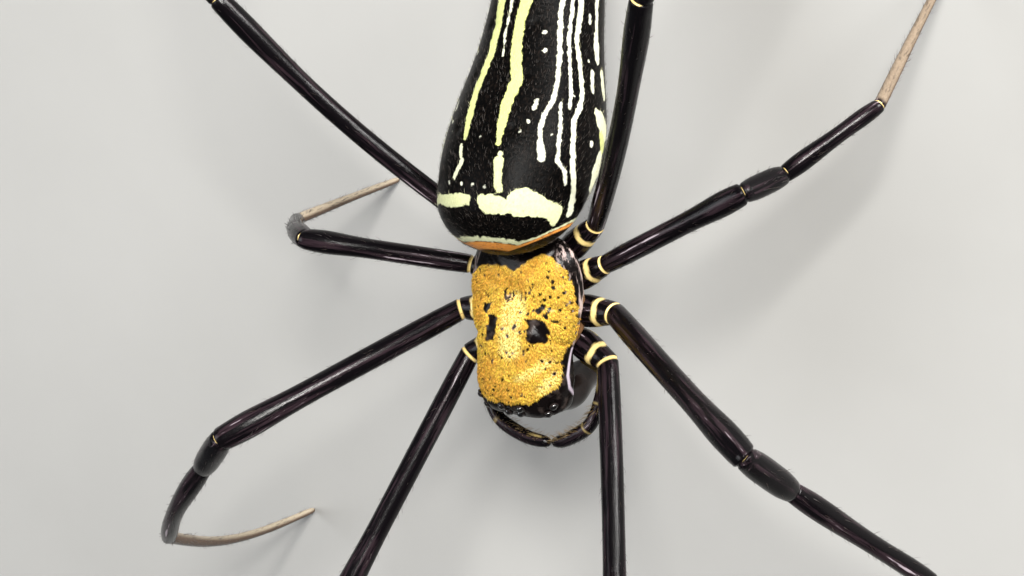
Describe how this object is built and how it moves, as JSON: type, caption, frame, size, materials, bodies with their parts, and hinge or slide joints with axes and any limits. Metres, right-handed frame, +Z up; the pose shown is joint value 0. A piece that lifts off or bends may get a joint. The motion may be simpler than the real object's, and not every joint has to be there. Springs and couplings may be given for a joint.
{
  "type": "golden silk orb weaver spider, still life-size museum model",
  "caption": "Life-size still model of a grown female golden silk orb weaver: golden carapace, long striped abdomen, slender black legs, standing on its feet.",
  "frame": {"origin": "middle of the spider's span, on the floor that its feet stand on", "axes": "+Z up, head toward -Y, the spider's own left side toward +X"},
  "size_m": [0.0804, 0.1184, 0.0361],
  "materials": {
    "black_shell": "glossy black chitin with purple-brown lights",
    "gold_hair": "dense short golden hair over black chitin",
    "striped_skin": "satin black skin with cream and yellow-green stripes",
    "brown_shell": "satin dark brown chitin",
    "eye_lens": "polished black"
  },
  "bodies": {
    "root": {"carapace": "gold_hair", "breast_plate": "black_shell", "abdomen": "striped_skin", "waist": "black_shell", "spinnerets": "brown_shell", "eye_front_middle_left": "eye_lens", "eye_front_middle_right": "eye_lens", "eye_rear_middle_left": "eye_lens", "eye_rear_middle_right": "eye_lens", "eye_front_side_left": "eye_lens", "eye_front_side_right": "eye_lens", "eye_rear_side_left": "eye_lens", "eye_rear_side_right": "eye_lens", "jaw_left": "black_shell", "fang_left": "brown_shell", "palp_left": "black_shell", "jaw_right": "black_shell", "fang_right": "brown_shell", "palp_right": "black_shell", "leg1_left_coxa": "black_shell", "leg1_left_femur": "black_shell", "leg1_left_patella": "black_shell", "leg1_left_tibia": "black_shell", "leg1_left_shin": "brown_shell", "leg1_right_coxa": "black_shell", "leg1_right_femur": "black_shell", "leg1_right_patella": "black_shell", "leg1_right_tibia": "black_shell", "leg1_right_shin": "brown_shell", "leg2_left_coxa": "black_shell", "leg2_left_femur": "black_shell", "leg2_left_patella": "black_shell", "leg2_left_tibia": "black_shell", "leg2_left_shin": "brown_shell", "leg2_right_coxa": "black_shell", "leg2_right_femur": "black_shell", "leg2_right_patella": "black_shell", "leg2_right_tibia": "black_shell", "leg2_right_shin": "brown_shell", "leg3_left_coxa": "black_shell", "leg3_left_femur": "black_shell", "leg3_left_patella": "black_shell", "leg3_left_tibia": "black_shell", "leg3_left_shin": "brown_shell", "leg3_right_coxa": "black_shell", "leg3_right_femur": "black_shell", "leg3_right_patella": "black_shell", "leg3_right_tibia": "black_shell", "leg3_right_shin": "brown_shell", "leg4_left_coxa": "black_shell", "leg4_left_femur": "black_shell", "leg4_left_patella": "black_shell", "leg4_left_tibia": "black_shell", "leg4_left_shin": "brown_shell", "leg4_right_coxa": "black_shell", "leg4_right_femur": "black_shell", "leg4_right_patella": "black_shell", "leg4_right_tibia": "black_shell", "leg4_right_shin": "brown_shell"}
  },
  "joints": []
}
